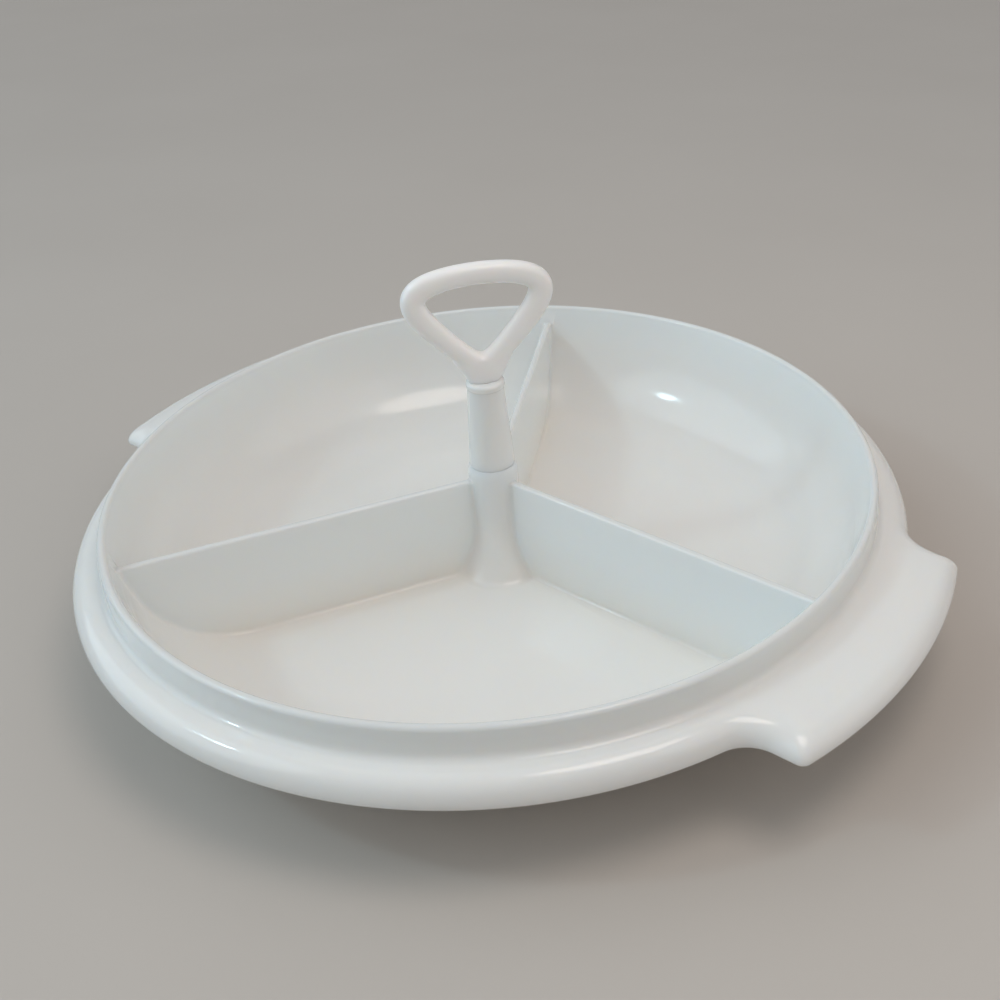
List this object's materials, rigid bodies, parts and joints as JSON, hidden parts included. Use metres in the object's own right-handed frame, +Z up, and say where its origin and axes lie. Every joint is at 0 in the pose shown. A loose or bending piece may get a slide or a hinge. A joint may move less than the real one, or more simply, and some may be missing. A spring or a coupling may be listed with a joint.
{
  "type": "divided serving dish",
  "caption": "Round shallow serving dish with dividers meeting at a centre post, a rolled flange with finger tabs, and a lift-out carrying handle with a turning finger loop.",
  "frame": {"origin": "on the table, under the middle of the dish", "axes": "+X through one finger tab and along one divider, +Z up along the handle's stem"},
  "size_m": [0.3028, 0.2726, 0.1164],
  "materials": {
    "dish": "satin milky white",
    "handle_stem": "satin milky white",
    "handle_loop": "satin milky white"
  },
  "bodies": {
    "dish": {"dish": "dish"},
    "handle_stem": {"handle_stem": "handle_stem"},
    "handle_loop": {"handle_loop": "handle_loop"}
  },
  "joints": [
    {"name": "handle_lift", "type": "slide", "parent": "dish", "child": "handle_stem", "axis": [0, 0, 1], "range_m": [0, 0.04]},
    {"name": "loop_turn", "type": "hinge", "parent": "handle_stem", "child": "handle_loop", "pos_m": [0, 0, 0.0764], "axis": [0, 0, 1], "continuous": true}
  ]
}
